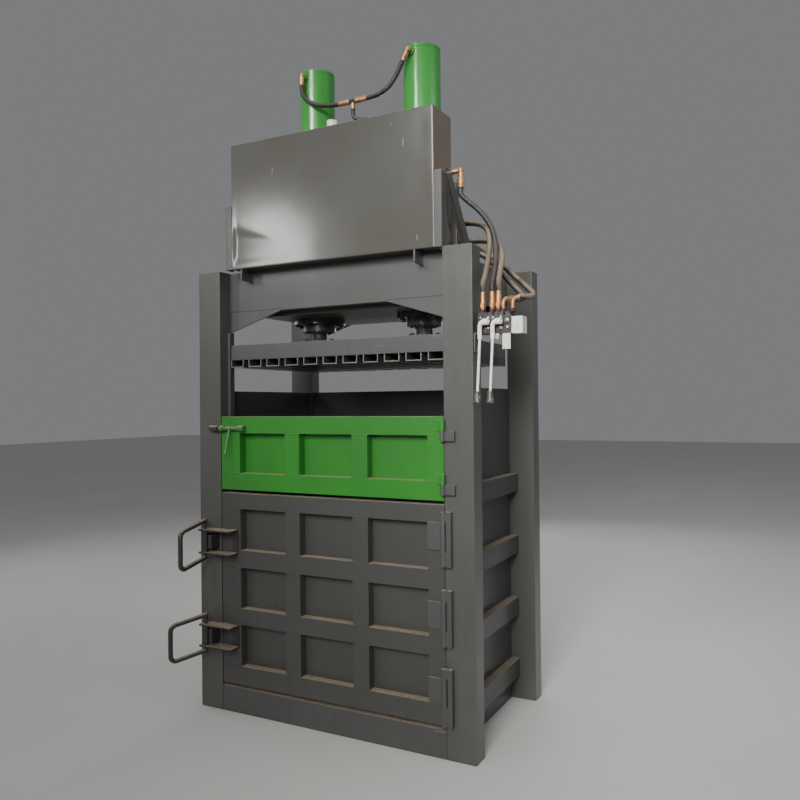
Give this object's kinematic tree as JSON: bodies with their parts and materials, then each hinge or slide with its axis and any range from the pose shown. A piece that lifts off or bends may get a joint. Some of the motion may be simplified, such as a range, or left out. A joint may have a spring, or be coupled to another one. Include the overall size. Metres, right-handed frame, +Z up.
{
  "type": "recycling baler",
  "caption": "Vertical baler with box columns, ribbed chamber, slotted platen on hydraulic cylinders, hinged latticed doors, oil tank and lever valve.",
  "frame": {"origin": "centre of the footprint of the four columns, on the floor", "axes": "+Z up, -Y out of the doors, +X to the hinge and valve side"},
  "size_m": [1.9655, 1.2258, 3.6],
  "materials": {
    "frame_paint": "charcoal satin paint, dusty",
    "wall_paint": "charcoal satin paint, scuffed",
    "worn_steel": "paint worn to steel by bales",
    "door_paint": "charcoal satin paint, dusty ledges",
    "green_paint": "leaf green gloss paint, dusty ledges",
    "bolt_steel": "rubbed bare steel",
    "cylinder_paint": "green gloss paint over the barrels",
    "gland_steel": "machined steel, oily",
    "rod_chrome": "hard chrome",
    "tank_paint": "light charcoal satin paint, dented sheet",
    "white_plastic": "white plastic, dusty",
    "lever_paint": "white lever rods with dark grips",
    "motor_paint": "blue grey motor paint",
    "cast_body": "dark cast body",
    "zinc_fittings": "yellow passivated zinc",
    "hose_rubber": "black rubber with dust on top"
  },
  "bodies": {
    "frame": {"front_column_left": "frame_paint", "front_column_right": "frame_paint", "rear_column_left": "frame_paint", "rear_column_right": "frame_paint", "base_front_beam": "frame_paint", "base_rear_beam": "frame_paint", "base_bearers": "frame_paint", "chamber_floor": "worn_steel", "floor_channels": "worn_steel", "side_wall_left": "wall_paint", "side_wall_right": "wall_paint", "side_ribs_left": "wall_paint", "side_ribs_right": "wall_paint", "rear_wall": "wall_paint", "rear_ribs": "wall_paint", "door_stops": "frame_paint", "front_top_beam": "frame_paint", "rear_top_beam": "frame_paint", "cross_beams": "frame_paint", "cylinder_mount_plate": "frame_paint", "cylinder_left": "cylinder_paint", "cylinder_right": "cylinder_paint", "glands": "gland_steel", "oil_tank": "tank_paint", "tank_posts": "frame_paint", "tank_braces": "frame_paint", "filler_breather": "white_plastic", "motor": "motor_paint", "pump": "cast_body", "drive_base": "frame_paint", "valve_bracket": "frame_paint", "valve_block": "cast_body", "valve_end_cap": "white_plastic", "valve_fittings": "zinc_fittings", "hose_fittings": "zinc_fittings", "cylinder_hoses": "hose_rubber", "tank_hose": "hose_rubber", "supply_hose": "hose_rubber", "return_hose": "hose_rubber", "work_hoses": "hose_rubber", "hinge_knuckles": "frame_paint", "latch_keepers": "frame_paint", "bolt_keeper": "frame_paint"},
    "platen": {"platen_frame": "worn_steel", "platen_channels": "worn_steel", "piston_rods": "rod_chrome"},
    "lower_door": {"lower_door_skin": "door_paint", "lower_door_rails": "door_paint", "lower_door_stiles": "door_paint", "lower_hinge_leaves": "door_paint", "latch_brackets": "door_paint"},
    "upper_door": {"upper_door_skin": "green_paint", "upper_door_lattice": "green_paint", "upper_hinge_leaves": "green_paint", "bolt_sleeves": "green_paint"},
    "upper_latch": {"upper_latch": "door_paint"},
    "lower_latch": {"lower_latch": "door_paint"},
    "slide_bolt": {"slide_bolt": "bolt_steel"},
    "valve_lever_1": {"valve_lever_1": "lever_paint"},
    "valve_lever_2": {"valve_lever_2": "lever_paint"}
  },
  "joints": [
    {"name": "platen_slide", "type": "slide", "parent": "frame", "child": "platen", "axis": [0, 0, -1], "range_m": [0, 1.15]},
    {"name": "lower_door_hinge", "type": "hinge", "parent": "frame", "child": "lower_door", "pos_m": [0.674, -0.5055, 0.674], "axis": [0, 0, 1], "range_deg": [0, 135]},
    {"name": "upper_door_hinge", "type": "hinge", "parent": "frame", "child": "upper_door", "pos_m": [0.674, -0.5055, 1.41], "axis": [0, 0, 1], "range_deg": [0, 135]},
    {"name": "upper_latch_turn", "type": "hinge", "parent": "lower_door", "child": "upper_latch", "pos_m": [-0.75, -0.5355, 0.928], "axis": [0, 0, 1], "range_deg": [-90, 0]},
    {"name": "lower_latch_turn", "type": "hinge", "parent": "lower_door", "child": "lower_latch", "pos_m": [-0.75, -0.5355, 0.4145], "axis": [0, 0, 1], "range_deg": [-55, 0]},
    {"name": "bolt_slide", "type": "slide", "parent": "upper_door", "child": "slide_bolt", "axis": [-1, 0, 0], "range_m": [0, 0.03]},
    {"name": "valve_lever_1_swing", "type": "hinge", "parent": "frame", "child": "valve_lever_1", "pos_m": [0.896, -0.5015, 2.04], "axis": [1, 0, 0], "range_deg": [-20, 20], "stiffness_Nm_per_rad": 3},
    {"name": "valve_lever_2_swing", "type": "hinge", "parent": "frame", "child": "valve_lever_2", "pos_m": [0.958, -0.5015, 2.04], "axis": [1, 0, 0], "range_deg": [-20, 20], "stiffness_Nm_per_rad": 3}
  ]
}
